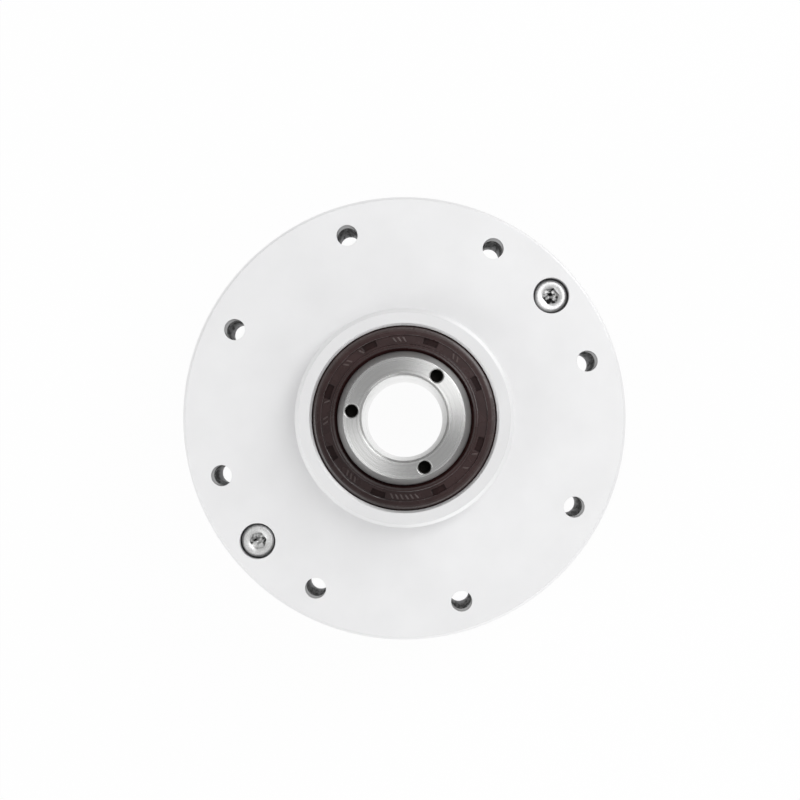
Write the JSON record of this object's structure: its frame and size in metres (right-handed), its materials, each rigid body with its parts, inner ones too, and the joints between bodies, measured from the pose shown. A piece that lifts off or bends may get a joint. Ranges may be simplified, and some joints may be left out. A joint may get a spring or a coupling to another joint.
{
  "type": "strain wave gearbox",
  "caption": "Round hollow-shaft strain wave gearbox with a flanged aluminium housing, brown input seal, toothed flexspline and crossed roller output bearing.",
  "frame": {"origin": "centre of the mounting bolt circle on the front face of the housing flange", "axes": "+Z along the shaft towards the input side; +X midway between two mounting holes"},
  "size_m": [0.074, 0.074, 0.048],
  "materials": {
    "housing_aluminium": "satin",
    "output_aluminium": "satin",
    "shaft_steel": "turned",
    "bearing_steel": "ground",
    "gear_steel": "machined",
    "screw_steel": "bright",
    "spring_steel": "bright",
    "seal_rubber": "moulded",
    "ring_rubber": "smooth",
    "cage_plastic": "moulded"
  },
  "bodies": {
    "housing": {"input_housing": "housing_aluminium", "housing_screws": "screw_steel", "housing_o_ring": "ring_rubber", "flexspline": "gear_steel", "roller_outer_ring": "bearing_steel", "roller_plug": "bearing_steel", "roller_plug_pin": "bearing_steel", "roller_dust_seal": "ring_rubber", "input_bearing_outer_race": "bearing_steel", "wave_outer_race": "bearing_steel", "input_seal_rubber": "seal_rubber", "input_seal_case": "spring_steel", "input_seal_spring": "spring_steel"},
    "input": {"hollow_shaft": "shaft_steel", "wave_inner_race": "bearing_steel", "wave_spacer": "shaft_steel", "input_bearing_inner_race": "bearing_steel", "output_bearing_inner_race": "bearing_steel"},
    "output": {"roller_inner_ring": "bearing_steel", "circular_spline": "gear_steel", "output_flange": "output_aluminium", "output_screws": "screw_steel", "output_o_ring": "ring_rubber", "bearing_shim": "bearing_steel", "output_bearing_outer_race": "bearing_steel", "output_seal_rubber": "seal_rubber", "output_seal_case": "spring_steel", "output_seal_spring": "spring_steel"},
    "input_ball_set": {"input_bearing_balls": "bearing_steel", "input_bearing_cage": "cage_plastic"},
    "output_ball_set": {"output_bearing_balls": "bearing_steel", "output_bearing_cage": "cage_plastic"},
    "wave_ball_set": {"wave_balls": "bearing_steel", "wave_cage": "cage_plastic"},
    "roller_set": {"crossed_rollers": "bearing_steel"}
  },
  "joints": [
    {"name": "input_spin", "type": "hinge", "parent": "housing", "child": "input", "pos_m": [0, 0, 0], "axis": [0, 0, 1], "continuous": true, "deforming": ["flexspline", "wave_outer_race", "wave_balls", "wave_cage"]},
    {"name": "output_spin", "type": "hinge", "parent": "housing", "child": "output", "pos_m": [0, 0, 0], "axis": [0, 0, 1], "continuous": true},
    {"name": "input_balls_spin", "type": "hinge", "parent": "housing", "child": "input_ball_set", "pos_m": [0, 0, 0], "axis": [0, 0, 1], "continuous": true},
    {"name": "output_balls_spin", "type": "hinge", "parent": "housing", "child": "output_ball_set", "pos_m": [0, 0, 0], "axis": [0, 0, 1], "continuous": true},
    {"name": "wave_balls_spin", "type": "hinge", "parent": "housing", "child": "wave_ball_set", "pos_m": [0, 0, 0], "axis": [0, 0, 1], "continuous": true},
    {"name": "rollers_spin", "type": "hinge", "parent": "housing", "child": "roller_set", "pos_m": [0, 0, 0], "axis": [0, 0, 1], "continuous": true}
  ],
  "couplings": [
    {"joint": "output_spin", "follows": "input_spin", "ratio": 0.019608},
    {"joint": "input_balls_spin", "follows": "input_spin", "ratio": 0.46491},
    {"joint": "output_balls_spin", "follows": "input_spin", "ratio": 0.4754},
    {"joint": "wave_balls_spin", "follows": "input_spin", "ratio": 0.45378},
    {"joint": "rollers_spin", "follows": "input_spin", "ratio": 0.0093187}
  ]
}
